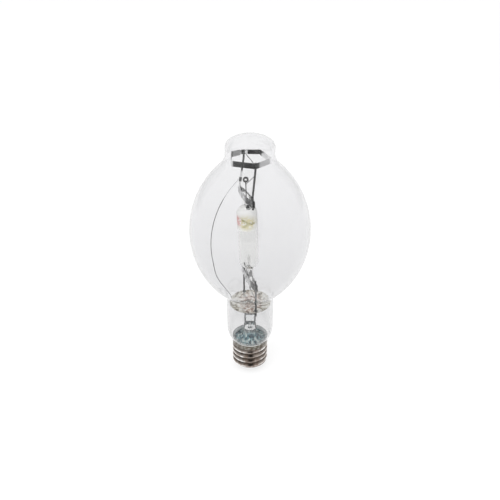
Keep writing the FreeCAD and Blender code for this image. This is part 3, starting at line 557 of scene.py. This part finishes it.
# Centre contact, pressed from sheet brass and held by the insulator.
# The contact lead ends in a drop of solder in its middle.
contact_metal = wire_metal("contact_metal", (0.42, 0.36, 0.22), (0.60, 0.53, 0.36), 0.3)
paint(contact_metal, "centre_contact")
solder_metal = wire_metal("solder_metal", (0.38, 0.38, 0.39), (0.55, 0.55, 0.56), 0.4)
paint(solder_metal, "contact_solder")


# Floor and surroundings, a plain white sweep with soft light from all round.
# Both show as white themselves, in metal and through glass, and light the lamp less than that.
def seen_directly(tree):
    """1 for a look at the surroundings, straight or by metal or glass, and 0 for their light."""
    path = tree.nodes.new("ShaderNodeLightPath")
    seen = calculate(tree, "MAXIMUM", path.outputs["Is Camera Ray"], path.outputs["Is Glossy Ray"])
    return calculate(tree, "MAXIMUM", seen, path.outputs["Is Transmission Ray"])


floor_reach = 20.0
floor_mesh = bpy.data.meshes.new("floor")
shape = bmesh.new()
bmesh.ops.create_grid(shape, x_segments=1, y_segments=1, size=floor_reach)
shape.to_mesh(floor_mesh)
shape.free()
floor = bpy.data.objects.new("floor", floor_mesh)
bpy.context.collection.objects.link(floor)
floor_material, tree, shader = new_material("floor")
shader.inputs["Base Color"].default_value = (*grey(0.30), 1.0)
shader.inputs["Roughness"].default_value = 0.9
shader.inputs["Emission Color"].default_value = (*grey(1.0), 1.0)
tree.links.new(scaled(tree, seen_directly(tree), 0.0, 0.71), shader.inputs["Emission Strength"])
floor.data.materials.append(floor_material)

world = bpy.data.worlds.new("studio")
world.use_nodes = True
bpy.context.scene.world = world
tree = world.node_tree
background = tree.nodes["Background"]
background.inputs["Color"].default_value = (*grey(1.0), 1.0)
tree.links.new(scaled(tree, seen_directly(tree), 0.80, 1.0), background.inputs["Strength"])

# Soft lamps, a broad one high on the left and a narrow one on the right.
# They only light the pieces, and don't show in metal or through glass.
stage_middle = Vector((0.0, 0.0, 0.15))


def turned_to_lamp(place, front):
    """Rotation that turns an object's front axis from its place towards the middle of the stage."""
    return (stage_middle - Vector(place)).to_track_quat(front, "Y").to_euler()


def soft_lamp(name, place, width, height, power):
    """A soft lamp turned towards the bulb."""
    data = bpy.data.lights.new(name, "AREA")
    data.shape = "RECTANGLE"
    data.size = width
    data.size_y = height
    data.energy = power
    lamp = bpy.data.objects.new(name, data)
    lamp.location = place
    lamp.rotation_euler = turned_to_lamp(place, "-Z")
    lamp.visible_camera = False
    lamp.visible_glossy = False
    lamp.visible_transmission = False
    bpy.context.collection.objects.link(lamp)


soft_lamp("key_lamp", (-0.9, -1.3, 1.6), 2.6, 2.6, 38.0)
soft_lamp("side_lamp", (1.5, -1.0, 1.6), 0.30, 1.8, 9.0)


# Cards of the studio, seen only in reflections. The dark ones give glass and metal their dark
# edges and the white one a soft upright light; all of them fade out towards their rims.
def studio_card(name, place, width, height, brightness, cover):
    """A card turned towards the bulb, with its own brightness and the cover of its middle."""
    mesh = bpy.data.meshes.new(name)
    card_shape = bmesh.new()
    bmesh.ops.create_grid(card_shape, x_segments=1, y_segments=1, size=0.5)
    bmesh.ops.scale(card_shape, verts=card_shape.verts, vec=(width, height, 1.0))
    card_shape.to_mesh(mesh)
    card_shape.free()
    material, tree, shader = new_material(name)
    glow = tree.nodes.new("ShaderNodeEmission")
    glow.inputs["Strength"].default_value = brightness
    clear = tree.nodes.new("ShaderNodeBsdfTransparent")
    mixed = tree.nodes.new("ShaderNodeMixShader")
    fade = ramp(tree, spot(tree, (0.0, 0.0, 0.0), (width / 2, height / 2, 1.0)),
                (0.0, grey(0.0)), (0.5, grey(cover)))
    tree.links.new(fade, mixed.inputs["Fac"])
    tree.links.new(clear.outputs["BSDF"], mixed.inputs[1])
    tree.links.new(glow.outputs["Emission"], mixed.inputs[2])
    tree.links.new(mixed.outputs["Shader"], tree.nodes["Material Output"].inputs["Surface"])
    card = bpy.data.objects.new(name, mesh)
    card.location = place
    card.rotation_euler = turned_to_lamp(place, "Z")
    bpy.context.collection.objects.link(card)
    card.data.materials.append(material)
    card.visible_camera = False
    card.visible_diffuse = False
    card.visible_transmission = False
    card.visible_shadow = False


studio_card("front_card", (0.0, -2.2, 0.9), 2.2, 3.6, 0.03, 0.95)
studio_card("left_card", (-1.3, 1.3, 0.3), 1.4, 4.0, 0.25, 0.6)
studio_card("right_card", (1.3, 1.3, 0.3), 1.4, 4.0, 0.25, 0.6)
studio_card("strip_card", (1.6, -0.9, 0.5), 1.5, 4.0, 0.95, 0.75)

# Colours shown as they are.
bpy.context.scene.view_settings.view_transform = "Standard"
